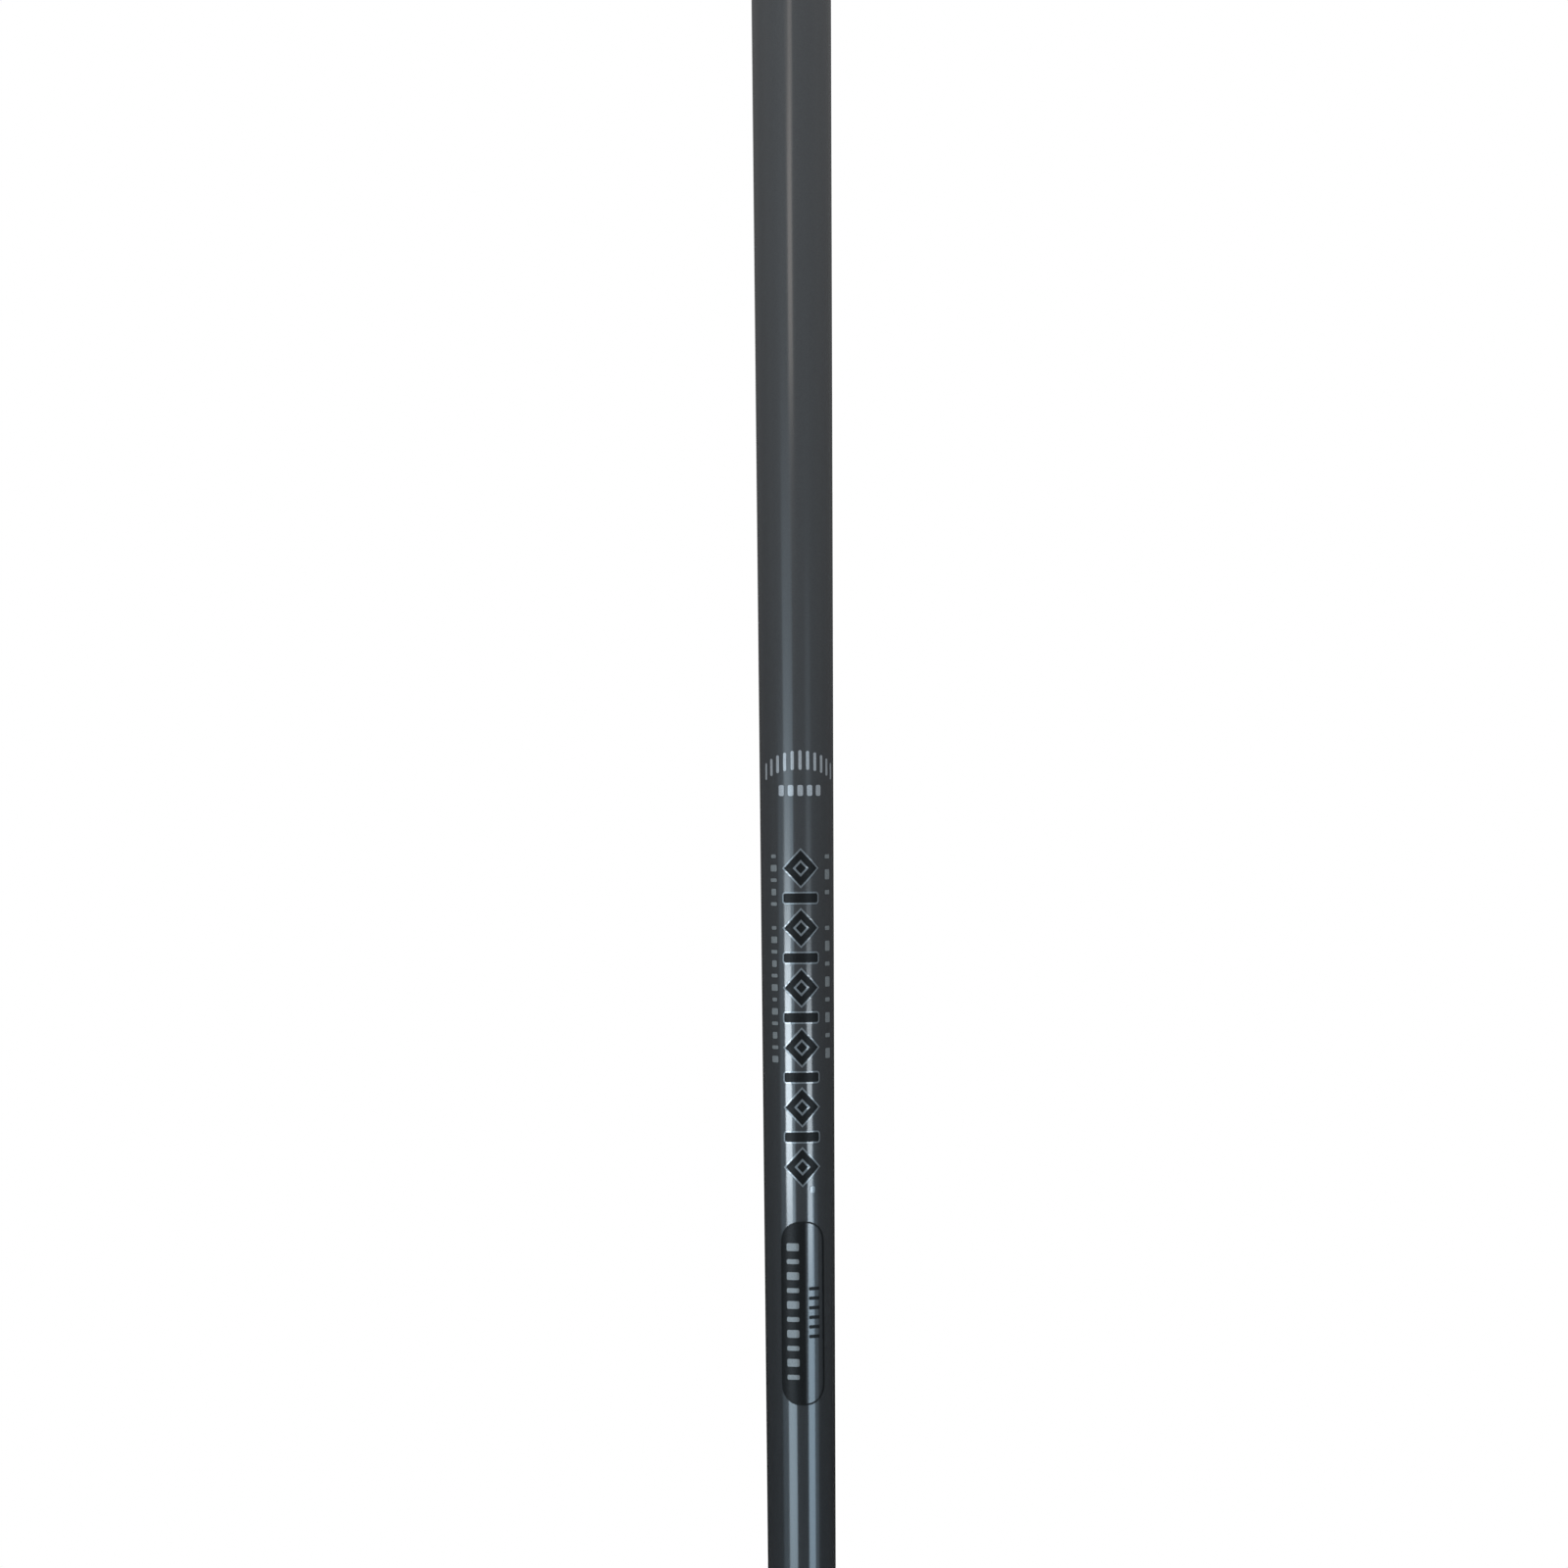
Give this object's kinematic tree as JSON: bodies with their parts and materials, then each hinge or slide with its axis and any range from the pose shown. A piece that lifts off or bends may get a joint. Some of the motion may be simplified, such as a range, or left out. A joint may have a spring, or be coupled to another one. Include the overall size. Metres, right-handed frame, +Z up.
{
  "type": "fairway wood",
  "caption": "Bonded golf fairway wood with a hollow welded steel head, tapered composite shaft, ferrule and moulded rubber grip with a vented end cap.",
  "frame": {"origin": "middle of the grip cap's flat butt face, on the shaft axis, at the mouth of the vent hole", "axes": "+Z up the shaft axis, from the head to the butt; -Y the side that carries the shaft print, and the toe's side; +X the way the face looks"},
  "size_m": [0.0661, 0.0861, 1.1242],
  "materials": {
    "shaft_composite": "clear-coated charcoal paint",
    "shaft_print": "silver and black print under clear coat",
    "ferrule_plastic": "turned and polished",
    "grip_rubber": "moulded, textured",
    "grip_tape": "crepe paper",
    "head_steel": "satin sole and skirt",
    "crown_paint": "gloss charcoal enamel",
    "face_steel": "blasted, with milled lines",
    "badge_alloy": "spun",
    "screw_steel": "black oxide",
    "weight_brass": "turned",
    "epoxy": "cured",
    "foam": "cork",
    "mark_paint": "enamel"
  },
  "bodies": {
    "root": {"shaft": "shaft_composite", "crest_decal": "shaft_print", "name_decal": "shaft_print", "left_print_decal": "shaft_print", "right_print_decal": "shaft_print", "flex_decal": "shaft_print", "grip": "grip_rubber", "grip_cap": "grip_rubber", "grip_tape": "grip_tape", "ferrule": "ferrule_plastic", "hosel_tube": "head_steel", "hosel_epoxy": "epoxy", "tip_weight": "weight_brass", "tip_plug": "foam", "head_body": "head_steel", "crown_plate": "crown_paint", "face_plate": "face_steel", "sole_plate": "head_steel", "sole_badge": "badge_alloy", "badge_adhesive": "epoxy", "weight_screw": "screw_steel", "rear_weight": "head_steel", "capture_glue": "epoxy", "alignment_mark": "mark_paint"}
  },
  "joints": []
}
